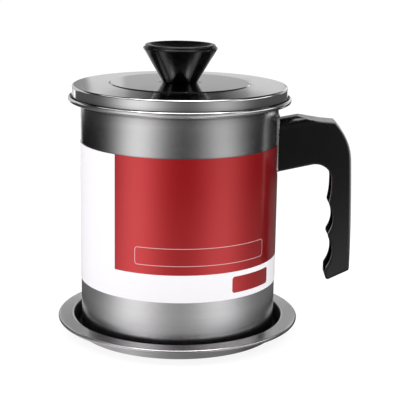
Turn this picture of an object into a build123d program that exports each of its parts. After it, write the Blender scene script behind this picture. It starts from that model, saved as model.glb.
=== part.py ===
from build123d import *
import math
import os

# A pot for used cooking fat: drip tray, handled pot with a paper band, strainer, and lid with a knob.
# Millimetres. The origin is on the pot's axis, on the plane that the tray stands on. +Z is up and
# +X points along the handle. Profiles are drawn as (radius, height) and turned about the axis.

# ---- Driving sizes ----

# Clearances
seat_gap = 0.1            # between stacked pieces that lift off each other
thread_gap = 0.05         # between a screw and the thread that takes it
passing_gap = 0.3         # between a screw and a plain hole
socket_gap = 0.15         # round a piece that is pressed or dropped into a moulding
cut_over = 1.0            # how far a cut runs past the face that it opens

# Drip tray
tray_sheet = 0.7
tray_clearance = 2.3      # pot wall to the well's inside, at the floor
tray_lean = 2.1           # how far the well's wall leans outwards
tray_height = 10.2        # top of the flange at the well
tray_flange = 9.4         # width of the flange, from the well to the rolled edge
tray_fall = 0.4           # how far the flange falls towards its edge
tray_foot_fillet = 2.5
tray_mouth_fillet = 1.1
tray_hem_radius = 1.2     # outside of the rolled edge
tray_hem_turn = 210       # degrees

# Pot
pot_radius = 60.0         # outside of the wall
pot_height = 146.0        # underside to the crest of the rim
pot_sheet = 0.6
pot_foot_fillet = 5.0
pot_bead_radius = 2.4     # outside of the rolled rim
pot_bead_turn = 255       # degrees

# Paper band
band_thickness = 0.25
band_slack = 0.05         # between the paper and the wall
band_height = 84.8
band_from_rim = 28.1      # rim crest down to the band's top edge
band_slot_margin = 2.0    # paper kept clear of the saddle plate
band_seam = 0.6           # between the band's two ends, under the handle

# Strainer
strainer_sheet = 0.5
strainer_clearance = 0.6  # to the inside of the pot
strainer_depth = 36.0     # shoulder down to the ledge
strainer_ledge = 7.0      # width of the ledge that carries the net
strainer_foot_fillet = 2.6
strainer_neck_fillet = 1.0
collar_height = 5.4       # shoulder up to the crest that the lid sits on
collar_clearance = 0.5    # to the inside of the lid's skirt
collar_curl_radius = 1.0
collar_curl_turn = 210    # degrees
collar_fillet = 1.3

# Net and its ring
net_thickness = 0.6
net_pitch = 7.2
net_bar = 1.3
net_inset = 2.9           # cup's inside wall to the edge of the net
ring_width = 3.2
ring_thickness = 0.6

# Lid
lid_sheet = 0.6
lid_clearance = 0.4       # skirt's inside to the rolled rim of the pot
lid_disc_radius = 42.0
lid_disc_step = 0.5       # height of the disc's raised edge
lid_disc_shoulder = 0.9   # width of that edge
lid_fall = 0.9            # from the disc's edge to the lid's corner
lid_corner_fillet = 1.5
lid_skirt = 8.1           # lid's corner down to the middle of the rolled edge
lid_curl_radius = 1.5     # outside of the rolled edge
lid_curl_turn = 250       # degrees

# Knob
knob_height = 21.4        # lid up to the lip
knob_base_radius = 10.2
knob_lip_radius = 23.0
knob_wall = 2.4
knob_floor = 4.8
knob_lip_fillet = 0.8
knob_boss_radius = 5.0
knob_boss_height = 14.0
knob_bore_depth = 11.0
insert_socket_depth = 2.2
insert_radius = 21.2
insert_proud = 1.5        # the insert's rim above the knob's lip
insert_rim = 2.4          # width of the insert's raised rim
insert_ledge = 1.6        # width of the ledge that the insert sits on
insert_wall = 1.6
insert_dish_depth = 3.6
insert_rim_fillet = 0.7

# Screws, washers and nut
screw_radius = 2.0
screw_head_radius = 3.8
screw_head_height = 2.5
screw_recess_span = 4.2   # cross recess, end to end
screw_slot = 1.0          # width of each arm of the recess
screw_slot_depth = 1.3
washer_thickness = 0.8
washer_margin = 0.5       # a plain washer beyond the screw's head
knob_washer_radius = 8.0
nut_across_flats = 7.0
nut_height = 3.2
knob_screw_engagement = 8.0

# Handle bracket
bracket_sheet = 0.9
bracket_bottom_from_rim = 45.6
bracket_top_from_rim = 11.0
bracket_corner = 3.0
tongue_length = 23.0      # beyond the saddle plate
tongue_flange = 6.5       # height of the tongue's two side flanges
tongue_from_rim = 28.7    # rim crest down to the tongue's underside
tongue_screw_out = 14.5   # saddle plate to the screw's axis

# Handle grip. Its side view is measured from the saddle plate (out) and from the tongue's
# underside (up).
grip_width = 19.0
grip_wall = 2.4
grip_root_gap = 0.1       # to the saddle plate
arm_top = 15.0            # top of the arm at the root
arm_peak_out = 10.2       # where the thumb rest starts
arm_peak = 17.3
arm_crown_radius = 6.0    # rounding along the arm's top
thumb_rest_dip = 0.6      # how hollow the thumb rest is
shoulder_out = 33.0       # outer end of the thumb rest
shoulder = 14.1
back_out = 43.5           # top of the long back
back = -9.2
back_bow = 0.5            # how far the back bows outwards
heel_out = 44.8
heel = -77.8
tip = -84.8
arm_root_bottom = -16.5
arm_underside_rise = 12.7 # degrees
knuckle_fillet = 10.0     # inside corner between the arm and the grip
hollows = ((32.0, -25.4), (33.7, -45.6), (33.7, -65.7))  # bottom of each finger scallop
crests = ((30.9, -35.5), (30.9, -55.7), (30.2, -77.8))   # the rise below each of them
crest_radius = 3.6
heel_fillet = 2.0
tip_fillet = 1.6
edge_fillet = 1.2
root_trim = 1.5           # left on the root, then cut to the curve of the saddle plate
tip_lip = 4.8             # height of the closed end of the channel
boss_half_length = 5.0
boss_seat = -9.0          # where the handle screw's washer bears on the boss
counterbore_gap = 0.5     # round the handle screw's washer
rib_thickness = 1.6
rib_setback = 3.2         # ribs behind the scalloped edge
rib_count = 4
rib_first = -30.0
rib_pitch = 14.0

# ---- Heights and radii that follow ----

pot_base_z = tray_sheet + seat_gap
pot_rim_z = pot_base_z + pot_height
bead_outer_radius = pot_radius - pot_sheet + 2 * pot_bead_radius

shoulder_z = pot_rim_z + seat_gap
cup_radius = pot_radius - pot_sheet - strainer_clearance
cup_inner_radius = cup_radius - strainer_sheet
net_opening_radius = cup_radius - strainer_ledge
ledge_z = shoulder_z - strainer_depth
net_z = ledge_z + strainer_sheet
net_radius = cup_inner_radius - net_inset
ring_z = net_z + net_thickness

skirt_inner_radius = bead_outer_radius + lid_clearance
skirt_radius = skirt_inner_radius + lid_sheet
collar_radius = skirt_inner_radius - collar_clearance
collar_crest_z = shoulder_z + collar_height

# The lid rests on the collar's crest, under the sloping ring between its disc and its corner.
lid_slope = lid_fall / (skirt_radius - lid_disc_radius - lid_disc_shoulder)
lid_seat_radius = collar_radius - collar_curl_radius
lid_seat_top_z = collar_crest_z + seat_gap + lid_sheet / math.cos(math.atan(lid_slope))
lid_corner_z = lid_seat_top_z - lid_slope * (skirt_radius - lid_seat_radius)
lid_disc_z = lid_corner_z + lid_fall + lid_disc_step

wall_plate_radius = pot_radius + bracket_sheet
grip_x = wall_plate_radius + grip_root_gap
tongue_z = pot_rim_z - tongue_from_rim
screw_x = wall_plate_radius + tongue_screw_out
grip_inner_half = grip_width / 2 - grip_wall
tongue_half_width = grip_inner_half - socket_gap
washer_radius = screw_head_radius + washer_margin

os.makedirs("parts", exist_ok=True)


def save(shape, name):
    shape.label = name
    export_step(shape, f"parts/{name}.step")


def turned(face):
    """Turns a face drawn as (radius, height) about the pot's axis."""
    return revolve(Plane.XZ * face, Axis.Z)


def pressed(path, thickness, side=Side.LEFT):
    """A sheet pressing: the sheet lies on one side of its path, and is turned about the axis."""
    return turned(make_face(path.offset_2d(thickness, side=side).edges()))


def joined(*lines):
    return Wire([edge for line in lines for edge in line.edges()])


def disc(radius, z_low, thickness):
    return Pos(0, 0, z_low) * Cylinder(radius, thickness, align=(Align.CENTER, Align.CENTER, Align.MIN))


def upright_box(x_low, x_high, half_width, z_low, z_high):
    size = (x_high - x_low, 2 * half_width, z_high - z_low)
    return Pos((x_low + x_high) / 2, 0, (z_low + z_high) / 2) * Box(*size)


def pan_screw(length):
    """A cross-recessed pan head screw. Its head's underside is at the origin and its shank points up."""
    head_side = (screw_head_radius, -screw_head_height / 2)
    crown = TangentArc((0, -screw_head_height), head_side, tangent=(1, 0))
    outline = Polyline(
        head_side,
        (screw_head_radius, 0),
        (screw_radius, 0),
        (screw_radius, length),
        (0, length),
        (0, -screw_head_height),
    )
    screw = turned(make_face([*crown.edges(), *outline.edges()]))
    slot = Box(screw_recess_span, screw_slot, screw_slot_depth)
    recess = slot + Rot(0, 0, 90) * slot
    return screw - Pos(0, 0, -screw_head_height + screw_slot_depth / 2) * recess


def plain_washer(radius, z_low):
    hole = disc(screw_radius + passing_gap, z_low, washer_thickness)
    return disc(radius, z_low, washer_thickness) - hole


# ---- Drip tray ----


def drip_tray():
    foot = pot_radius + tray_clearance + tray_sheet
    mouth = foot + tray_lean
    edge = mouth + tray_flange
    under = tray_height - tray_sheet
    flange_end = (edge - tray_hem_radius, under - tray_fall)
    floor_to_flange = FilletPolyline(
        (0, 0),
        (foot, 0),
        (mouth, under),
        flange_end,
        radius=[tray_foot_fillet, tray_mouth_fillet],
    )
    hem = JernArc(
        start=flange_end,
        tangent=(floor_to_flange % 1),
        radius=tray_hem_radius - tray_sheet,
        arc_size=-tray_hem_turn,
    )
    return pressed(joined(floor_to_flange, hem), tray_sheet)


# ---- Pot ----


def pot_body():
    """A drawn can whose rim is rolled outwards."""
    curl_z = pot_rim_z - pot_bead_radius
    wall = FilletPolyline(
        (0, pot_base_z),
        (pot_radius, pot_base_z),
        (pot_radius, curl_z),
        radius=pot_foot_fillet,
    )
    bead = JernArc(
        start=(pot_radius, curl_z),
        tangent=(0, 1),
        radius=pot_bead_radius - pot_sheet,
        arc_size=-pot_bead_turn,
    )
    return pressed(joined(wall, bead), pot_sheet)


def label_band():
    """Paper round the wall, slotted round the saddle plate, its ends meeting under the handle."""
    top = pot_rim_z - band_from_rim
    bottom = top - band_height
    inside = pot_radius + band_slack
    sleeve = disc(inside + band_thickness, bottom, band_height) - disc(inside, bottom, band_height)
    slot_half = grip_width / 2 + band_slot_margin
    slot_bottom = pot_rim_z - bracket_bottom_from_rim - band_slot_margin
    slot = upright_box(0, 2 * pot_radius, slot_half, slot_bottom, top + cut_over)
    seam = upright_box(0, 2 * pot_radius, band_seam / 2, bottom - cut_over, top)
    return sleeve - slot - seam


# ---- Handle ----


def handle_bracket():
    """A saddle plate that follows the wall, with a tongue of channel section for the handle."""
    bottom = pot_rim_z - bracket_bottom_from_rim
    height = bracket_bottom_from_rim - bracket_top_from_rim
    ring = disc(wall_plate_radius, bottom, height) - disc(pot_radius, bottom, height)
    plate_outline = Pos(0, bottom + height / 2) * RectangleRounded(grip_width, height, bracket_corner)
    plate = ring & extrude(Plane.YZ * plate_outline, 2 * pot_radius)

    outer = Rectangle(2 * tongue_half_width, tongue_flange, align=(Align.CENTER, Align.MIN))
    inner = Rectangle(
        2 * (tongue_half_width - bracket_sheet), tongue_flange, align=(Align.CENTER, Align.MIN)
    )
    section = Pos(0, tongue_z) * (outer - Pos(0, bracket_sheet) * inner)
    tongue = extrude(Plane.YZ * section, wall_plate_radius + tongue_length)
    tongue -= disc(wall_plate_radius - bracket_sheet / 2, tongue_z, tongue_flange)
    hole = Pos(screw_x, 0, 0) * disc(screw_radius + passing_gap, tongue_z, bracket_sheet)
    return plate + tongue - hole


def meeting_point(hollow, crest):
    """Where the arc of a hollow runs into the arc of a crest: both stand upright at their middles."""
    drop = hollow[1] - crest[1]
    lean = 2 * math.atan((hollow[0] - crest[0]) / drop)
    radius = drop / math.sin(lean) - crest_radius
    return (hollow[0] - radius * (1 - math.cos(lean)), hollow[1] - radius * math.sin(lean))


def scalloped_edge():
    """The grip's inner edge, down from the highest hollow: hollows for the fingers, each with a crest
    below it."""
    points = []
    for hollow, crest, next_hollow in zip(hollows, crests, hollows[1:]):
        points += [meeting_point(hollow, crest), crest, meeting_point(next_hollow, crest), next_hollow]
    points += [meeting_point(hollows[-1], crests[-1]), crests[-1]]
    arcs = []
    start = hollows[0]
    heading = (0, -1)
    for point in points:
        arcs.append(TangentArc(start, point, tangent=heading))
        start = arcs[-1] @ 1
        heading = arcs[-1] % 1
    return arcs


def grip_outline():
    """Side view of the handle, as (out from its root, up from the tongue's underside)."""
    root_top = (-root_trim, arm_top)
    root_bottom = (-root_trim, arm_root_bottom)
    peak = (arm_peak_out, arm_peak)
    shoulder_point = (shoulder_out, shoulder)
    rest_middle = (
        (arm_peak_out + shoulder_out) / 2,
        (arm_peak + shoulder) / 2 - thumb_rest_dip,
    )
    back_top = (back_out, back)
    back_middle = ((back_out + heel_out) / 2 + back_bow, (back + heel) / 2)
    heel_point = (heel_out, heel)
    back_arc = ThreePointArc(back_top, back_middle, heel_point)
    elbow_arc = TangentArc(back_top, shoulder_point, tangent=(back_arc % 0) * -1)

    # Above the highest hollow the edge stands upright as far as the knuckle, on the arm's underside.
    slope = math.tan(math.radians(arm_underside_rise))
    highest = hollows[0]
    knuckle = (highest[0], arm_root_bottom + slope * highest[0])
    tip_point = (crests[-1][0], tip)

    lines = [
        Line(root_top, peak),
        ThreePointArc(peak, rest_middle, shoulder_point),
        elbow_arc,
        back_arc,
        Polyline(heel_point, tip_point, crests[-1]),
        *scalloped_edge(),
        Polyline(highest, knuckle, root_bottom, root_top),
    ]
    face = make_face([edge for line in lines for edge in line.edges()])
    for corner, radius in ((heel_point, heel_fillet), (tip_point, tip_fillet), (knuckle, knuckle_fillet)):
        face = fillet(face.vertices().sort_by_distance((*corner, 0))[0], radius)
    return face


def to_grip(sketch):
    """Stands a side view sketch up in the XZ plane, at the handle's root."""
    return Pos(grip_x, 0, tongue_z) * (Plane.XZ * sketch)


def crowned_bar():
    """A bar along the line of the arm's top, with rounded upper edges."""
    length = 2 * heel_out
    deep = 2 * (arm_top - tip)
    section = Pos(0, -deep / 2) * Rectangle(grip_width, deep)
    section = fillet(section.vertices().group_by(Axis.Y)[-1], arm_crown_radius)
    rise = math.degrees(math.atan2(arm_peak - arm_top, arm_peak_out + root_trim))
    bar = Rot(0, -rise, 0) * extrude(Plane.YZ * section, length, both=True)
    return Pos(grip_x - root_trim, 0, tongue_z + arm_top) * bar


def channel_hollow(outline):
    """Side view of the space inside the handle: its outline less the wall, with the wall opened
    along the scalloped edge and the arm's underside (mouth) and at the root (root_end)."""
    inside = offset(outline, -grip_wall)
    past_root = -root_trim - grip_wall
    past_scallops = max(out for out, up in hollows) + grip_wall / 2
    before_crests = min(out for out, up in crests) - grip_wall
    slope = math.tan(math.radians(arm_underside_rise))
    mouth = Polyline(
        (past_root, arm_root_bottom - grip_wall),
        (before_crests, tip + tip_lip),
        (past_scallops, tip + tip_lip),
        (past_scallops, arm_root_bottom + slope * past_scallops + grip_wall),
        (past_root, arm_root_bottom + slope * past_root + grip_wall),
        close=True,
    )
    root_end = Polyline(
        (past_root, arm_root_bottom),
        (grip_wall, arm_root_bottom),
        (grip_wall, arm_top - grip_wall),
        (past_root, arm_top - grip_wall),
        close=True,
    )
    return inside + make_face(mouth.edges()) + make_face(root_end.edges())


def handle_grip():
    """The moulded handle: a channel open towards the pot, with ribs and a boss for its screw."""
    outline = grip_outline()
    solid = extrude(to_grip(outline), grip_width / 2, both=True)
    side_faces = (solid.faces().sort_by(Axis.Y)[0], solid.faces().sort_by(Axis.Y)[-1])
    side_edges = [
        edge
        for face in side_faces
        for edge in face.edges()
        if edge.center().X > grip_x
    ]
    solid = fillet(side_edges, edge_fillet) & crowned_bar()
    grip = solid - extrude(to_grip(channel_hollow(outline)), grip_inner_half, both=True)

    # The webs run into the walls. The ribs across the grip stop short of the scalloped edge, and
    # one rib in the arm bears on the tongue's flanges.
    web_half = grip_inner_half + grip_wall / 2
    rib_x = grip_x + max(out for out, up in hollows) + rib_setback
    back_x = grip_x + heel_out - grip_wall / 2
    for number in range(rib_count):
        rib_z = tongue_z + rib_first - number * rib_pitch
        grip += upright_box(rib_x, back_x, web_half, rib_z, rib_z + rib_thickness)
    rest_z = tongue_z + tongue_flange
    rest_ends = (screw_x - rib_thickness / 2, screw_x + rib_thickness / 2)
    grip += solid & upright_box(*rest_ends, web_half, rest_z, tongue_z + arm_peak)

    below = tongue_z + 2 * arm_root_bottom
    boss_ends = (screw_x - boss_half_length, screw_x + boss_half_length)
    grip += solid & upright_box(*boss_ends, web_half, below, tongue_z)
    shank_hole = disc(screw_radius + passing_gap, below, tongue_z - below)
    counterbore = disc(washer_radius + counterbore_gap, below, tongue_z + boss_seat - below)
    grip -= Pos(screw_x, 0, 0) * (shank_hole + counterbore)

    # The root is cut to the curve of the saddle plate.
    return grip - disc(grip_x, tongue_z + tip, arm_peak - tip)


def handle_screw():
    under_head = tongue_z + boss_seat - washer_thickness
    nut_top = tongue_z + bracket_sheet + nut_height
    return Pos(screw_x, 0, under_head) * pan_screw(nut_top - under_head)


def handle_washer():
    return Pos(screw_x, 0, 0) * plain_washer(washer_radius, tongue_z + boss_seat - washer_thickness)


def handle_nut():
    hexagon = RegularPolygon(nut_across_flats / 2, 6, major_radius=False)
    nut = extrude(hexagon, nut_height) - Cylinder(screw_radius + thread_gap, 3 * nut_height)
    return Pos(screw_x, 0, tongue_z + bracket_sheet) * nut


# ---- Strainer ----


def strainer_cup():
    """A drawn cup: ledge for the net, wall, shoulder on the pot's rim, and a collar for the lid."""
    curl_z = collar_crest_z - collar_curl_radius
    wall = FilletPolyline(
        (net_opening_radius, ledge_z),
        (cup_radius, ledge_z),
        (cup_radius, shoulder_z),
        (collar_radius, shoulder_z),
        (collar_radius, curl_z),
        radius=[strainer_foot_fillet, strainer_neck_fillet, collar_fillet],
    )
    curl = JernArc(
        start=(collar_radius, curl_z),
        tangent=(0, 1),
        radius=collar_curl_radius,
        arc_size=collar_curl_turn,
    )
    return pressed(joined(wall, curl), strainer_sheet)


def strainer_mesh():
    """The net, as a square grid of crossing bars inside a plain border."""
    reach = net_opening_radius - net_bar
    steps = int(reach // net_pitch)
    hole = net_pitch - net_bar
    places = [
        (column * net_pitch, row * net_pitch)
        for column in range(-steps, steps + 1)
        for row in range(-steps, steps + 1)
        if math.hypot(abs(column) * net_pitch + hole / 2, abs(row) * net_pitch + hole / 2) < reach
    ]
    net = Circle(net_radius) - [Pos(x, y) * Rectangle(hole, hole) for x, y in places]
    return Pos(0, 0, net_z) * extrude(net, net_thickness)


def mesh_ring():
    ring = disc(net_radius, ring_z, ring_thickness)
    return ring - disc(net_radius - ring_width, ring_z, ring_thickness)


# ---- Lid ----


def lid_shell():
    """Raised disc, ring that falls to the corner, skirt, and an edge rolled outwards."""
    curl_z = lid_corner_z - lid_skirt
    disc_edge = lid_disc_radius + lid_disc_shoulder
    top = FilletPolyline(
        (screw_radius + passing_gap, lid_disc_z),
        (lid_disc_radius, lid_disc_z),
        (disc_edge, lid_disc_z - lid_disc_step),
        (skirt_radius, lid_corner_z),
        (skirt_radius, curl_z),
        radius=[lid_disc_shoulder, lid_disc_shoulder, lid_corner_fillet],
    )
    curl = JernArc(
        start=(skirt_radius, curl_z),
        tangent=(0, -1),
        radius=lid_curl_radius - lid_sheet,
        arc_size=lid_curl_turn,
    )
    return pressed(joined(top, curl), lid_sheet, side=Side.RIGHT)


def knob_cone():
    """An inverted cone, hollow under its insert, with a boss that takes the knob's screw."""
    flank = (knob_lip_radius - knob_base_radius) / knob_height
    socket_radius = insert_radius + socket_gap
    socket_floor = knob_height - insert_socket_depth
    floor = knob_floor
    bore = screw_radius + thread_gap
    outline = Polyline(
        (bore, 0),
        (knob_base_radius, 0),
        (knob_lip_radius, knob_height),
        (socket_radius, knob_height),
        (socket_radius, socket_floor),
        (socket_radius - insert_ledge, socket_floor),
        (knob_base_radius + flank * floor - knob_wall, floor),
        (knob_boss_radius, floor),
        (knob_boss_radius, knob_boss_height),
        (0, knob_boss_height),
        (0, knob_bore_depth),
        (bore, knob_bore_depth),
        close=True,
    )
    face = make_face(outline.edges())
    lip = face.vertices().sort_by_distance((knob_lip_radius, knob_height, 0))[0]
    face = fillet(lip, knob_lip_fillet)
    return Pos(0, 0, lid_disc_z) * turned(face)


def knob_insert():
    """The dished cap that fills the top of the knob, with a raised rim."""
    bottom = knob_height - insert_socket_depth
    top = knob_height + insert_proud
    dish_middle = (0, top - insert_dish_depth)
    dish_edge = (insert_radius - insert_rim, top)
    dish = TangentArc(dish_middle, dish_edge, tangent=(1, 0))
    outside = Polyline(
        dish_edge,
        (insert_radius, top),
        (insert_radius, bottom),
        (insert_radius - insert_ledge, bottom),
        (0, top - insert_dish_depth - insert_wall),
        dish_middle,
    )
    face = make_face([*dish.edges(), *outside.edges()])
    rim_corner = face.vertices().sort_by_distance((insert_radius, top, 0))[0]
    face = fillet(rim_corner, insert_rim_fillet)
    return Pos(0, 0, lid_disc_z) * turned(face)


def knob_screw():
    under_head = lid_disc_z - lid_sheet - washer_thickness
    length = lid_sheet + washer_thickness + knob_screw_engagement
    return Pos(0, 0, under_head) * pan_screw(length)


def knob_washer():
    return plain_washer(knob_washer_radius, lid_disc_z - lid_sheet - washer_thickness)


pieces = [
    drip_tray,
    pot_body,
    label_band,
    handle_bracket,
    handle_grip,
    handle_screw,
    handle_washer,
    handle_nut,
    strainer_cup,
    strainer_mesh,
    mesh_ring,
    lid_shell,
    knob_cone,
    knob_insert,
    knob_screw,
    knob_washer,
]
for piece in pieces:
    save(piece(), piece.__name__)
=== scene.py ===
import math

import bmesh
import bpy
import numpy as np
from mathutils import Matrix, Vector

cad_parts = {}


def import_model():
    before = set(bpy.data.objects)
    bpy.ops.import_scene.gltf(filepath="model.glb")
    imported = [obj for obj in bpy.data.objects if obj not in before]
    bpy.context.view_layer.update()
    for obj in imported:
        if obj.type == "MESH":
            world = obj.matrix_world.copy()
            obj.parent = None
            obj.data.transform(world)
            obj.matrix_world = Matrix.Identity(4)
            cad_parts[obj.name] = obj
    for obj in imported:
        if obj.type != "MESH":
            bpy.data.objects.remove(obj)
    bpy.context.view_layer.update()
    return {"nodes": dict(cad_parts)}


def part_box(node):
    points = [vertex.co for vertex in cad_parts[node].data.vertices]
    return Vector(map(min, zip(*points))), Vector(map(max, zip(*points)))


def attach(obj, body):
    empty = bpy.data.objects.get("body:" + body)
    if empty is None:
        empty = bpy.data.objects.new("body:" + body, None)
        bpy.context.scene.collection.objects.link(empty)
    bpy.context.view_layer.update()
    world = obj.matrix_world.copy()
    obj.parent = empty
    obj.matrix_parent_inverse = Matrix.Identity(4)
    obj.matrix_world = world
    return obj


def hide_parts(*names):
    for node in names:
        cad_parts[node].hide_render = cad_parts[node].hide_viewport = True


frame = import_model()
scene = bpy.context.scene

MM = 0.001

# ---- Sizes, in millimetres ----


def reach(node):
    """A round node's outer radius, and its lowest and highest point, in millimetres."""
    low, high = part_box(node)
    return -low.x / MM, low.z / MM, high.z / MM


# Drip tray
tray_radius = reach("drip_tray")[0]
tray_sheet = 0.7
tray_height = 10.2
tray_flange = 9.4
tray_lean = 2.1
tray_fall = 0.4
tray_hem_radius = 1.2
tray_hem_turn = 210
tray_foot_fillet = 2.5
tray_mouth_fillet = 1.1

# Pot
bead_radius, pot_base, pot_rim = reach("pot_body")
pot_sheet = 0.6
pot_bead = 2.4
pot_bead_turn = 255
pot_foot_fillet = 5.0
pot_radius = bead_radius + pot_sheet - 2 * pot_bead

# Paper band
band_radius, band_bottom, band_top = reach("label_band")
band_thickness = 0.25
band_slot_half = 11.5
band_slot_depth = 47.6
band_slot_bottom = pot_rim - band_slot_depth
band_seam_half = 0.3

# Strainer
collar_radius, ledge_z, collar_crest = reach("strainer_cup")
strainer_sheet = 0.5
strainer_gap = 0.6
strainer_ledge = 7.0
rim_gap = 0.1
strainer_wall_radius = pot_radius - pot_sheet - strainer_gap
strainer_opening = strainer_wall_radius - strainer_ledge
strainer_shoulder = pot_rim + rim_gap
strainer_fillets = (2.6, 1.0, 1.3)
collar_curl = 1.0
collar_curl_turn = 210
net_radius, net_low, net_high = reach("strainer_mesh")
ring_radius, ring_low, ring_high = reach("mesh_ring")
ring_width = 3.2
ring_fillets = (0.15, 0.2, 0.2, 0.15)
wire_pitch = 1.6
wire_radius = 0.17

# Lid
lid_reach, lid_low, lid_disc_z = reach("lid_shell")
lid_sheet = 0.6
lid_curl = 1.5
lid_curl_turn = 250
lid_skirt_radius = lid_reach + lid_sheet - 2 * lid_curl
lid_hole = 2.3
lid_disc_radius = 42.0
lid_disc_shoulder = 0.9
lid_disc_step = 0.5
lid_fall = 0.9
lid_corner_z = lid_disc_z - lid_disc_step - lid_fall
lid_corner_fillet = 1.5
lid_curl_z = lid_low + lid_curl

# Knob
knob_lip, knob_low, knob_top = reach("knob_cone")
insert_radius, _, insert_top = reach("knob_insert")
knob_base = 10.2
knob_lip_cut = 0.62
knob_lip_corner = knob_lip + knob_lip_cut
knob_fillets = (0.3, 0.8, 0.15, 0.2, 0.2, 1.0, 1.0, 0.6)
knob_wall = 2.4
knob_floor = 4.8
knob_boss = 5.0
knob_boss_height = 14.0
knob_bore = 2.05
knob_bore_depth = 11.0
insert_socket = 21.35
insert_socket_depth = 2.2
insert_floor = knob_top - insert_socket_depth
insert_ledge = 1.6
insert_rim = 2.4
insert_dish = 3.6
insert_wall = 1.6
insert_fillets = (0.5, 0.7)

# Handle and its bracket. A side view point is (out, up): out from grip_x, a gap off the saddle
# plate's face, and up from tongue_z, the underside of the bracket's tongue.
plate_thickness = 0.9
plate_corner = 3.0
plate_fall = 0.12
bracket_low, bracket_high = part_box("handle_bracket")
plate_low = bracket_low.z / MM
plate_high = bracket_high.z / MM
tongue_end = bracket_high.x / MM
tongue_drop = 28.7
tongue_z = pot_rim - tongue_drop
tongue_flange = 6.5
tongue_half = 6.95
tongue_fillet = 1.2
grip_gap = 0.1
grip_x = pot_radius + plate_thickness + grip_gap
grip_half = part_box("handle_grip")[1].y / MM
grip_wall = 2.4
grip_inner_half = grip_half - grip_wall
root_top = (-1.5, 15.0)
root_bottom = (-1.5, -16.5)
arm_peak = (10.2, 17.3)
thumb_rest_dip = 0.6
shoulder = (33.0, 14.1)
back_top = (43.5, -9.2)
back_bow = 0.5
heel = (44.8, -77.8)
heel_fillet = 2.0
tip_up = -84.8
tip_fillet = 1.6
tip_lip = 4.8
underside_slope = math.tan(math.radians(12.7))
knuckle_fillet = 10.0
hollows = ((32.0, -25.4), (33.7, -45.6), (33.7, -65.7))
crests = ((30.9, -35.5), (30.9, -55.7), (30.2, -77.8))
crest_radius = 3.6
crown_radius = 6.0
back_rounding = 2.0
rim_rounding = 1.2
rib_thickness = 1.6
rib_out = 36.9
rib_ups = (-30.0, -44.0, -58.0, -72.0)
rib_overlap = 0.4
rest_rib_low = tongue_flange + grip_gap
rest_rib_high = arm_peak[1] - grip_wall / 2
screw_out = 14.4
boss_half = 5.0
boss_seat = -9.0
counterbore = 4.8
shank_hole = 2.3


# ---- Camera ----

camera_place = (0.0131, -0.7507, 0.2568)
camera_dip = 13.153
camera_roll = 0.87
camera_focal_pixels = 1249.5
picture_width = 400
sensor_width = 36

camera_data = bpy.data.cameras.new("camera")
camera_data.sensor_width = sensor_width
camera_data.lens = camera_focal_pixels * sensor_width / picture_width
camera = bpy.data.objects.new("camera", camera_data)
camera.location = camera_place
camera.rotation_mode = "ZYX"
camera.rotation_euler = (math.radians(90 - camera_dip), 0, math.radians(camera_roll))
scene.collection.objects.link(camera)
scene.camera = camera
scene.view_settings.view_transform = "Standard"


# ---- Side view curves ----


def unit(vectors):
    """Vectors of length 1 along the given ones."""
    return vectors / np.linalg.norm(vectors, axis=-1, keepdims=True)


def rotated(vector, angle):
    """A vector turned anticlockwise by an angle, or by each of several."""
    c, s = np.cos(angle), np.sin(angle)
    return np.stack([vector[0] * c - vector[1] * s, vector[0] * s + vector[1] * c], axis=-1)


def turn_between(first, second):
    """Signed angle from one direction to the next, anticlockwise positive."""
    cross = first[0] * second[1] - first[1] * second[0]
    return math.atan2(cross, first[0] * second[0] + first[1] * second[1])


def rounded(points, radii, step=7.0):
    """A polyline with rounded corners. Each becomes the arc that touches both runs, which starts
    radius * tan(angle / 2) before a corner that turns by the angle. A radius of 0 keeps a corner."""
    points = np.asarray(points, float)
    rows = [points[:1]]
    for before, corner, after, radius in zip(points, points[1:], points[2:], radii):
        into = unit(corner - before)
        turn = turn_between(into, after - corner)
        if radius == 0 or abs(turn) < 1e-6:
            rows.append(corner[None])
            continue
        start = corner - into * radius * math.tan(abs(turn) / 2)
        rows.append(arc(start, into, radius, math.degrees(turn), step))
    rows.append(points[-1:])
    return np.concatenate(rows)


def arc(start, heading, radius, turn, step):
    """Leaves start along a heading and turns by an angle (degrees, anticlockwise positive): the vector
    from the centre to the start is turned by equal shares of the angle."""
    arm = math.copysign(radius, turn) * unit(np.array([heading[1], -heading[0]]))
    count = max(2, math.ceil(abs(turn) / step))
    return start - arm + rotated(arm, np.radians(np.linspace(0, turn, count + 1)))


def arc_to(start, heading, end, step=4.0):
    """The arc that leaves start along a heading and ends at a given point. It turns by twice the angle
    between the heading and the chord, and its radius is half the chord over the sine of that angle."""
    chord = np.subtract(end, start)
    half_turn = turn_between(heading, chord)
    radius = np.linalg.norm(chord) / (2 * abs(math.sin(half_turn)))
    return arc(start, heading, radius, math.degrees(2 * half_turn), step)


def arc_through(start, middle, end, step=4.0):
    """The arc through three points: it leaves the first along the chord to the last, turned back by
    the angle between the two shorter chords."""
    chord = np.subtract(end, start)
    lean = turn_between(np.subtract(middle, start), np.subtract(end, middle))
    return arc_to(start, rotated(chord, -lean), end, step)


def normals_left(path):
    """At each point of a path, the unit vector to the left of the mean of its two runs' directions, and
    the cosine of the angle between the mean and either run."""
    runs = unit(np.diff(path, axis=0))
    after = np.concatenate([runs, runs[-1:]])
    mean = unit(np.concatenate([runs[:1], runs]) + after)
    return np.stack([-mean[:, 1], mean[:, 0]], axis=1), np.sum(mean * after, axis=1)


def beside(path, distance):
    """The path moved sideways, to its left if the distance is positive. A corner moves by the distance
    over the cosine of half its turn, so that each run keeps its distance."""
    left, cosine = normals_left(path)
    return path + left * (distance / np.maximum(cosine, 0.3))[:, None]


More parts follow.
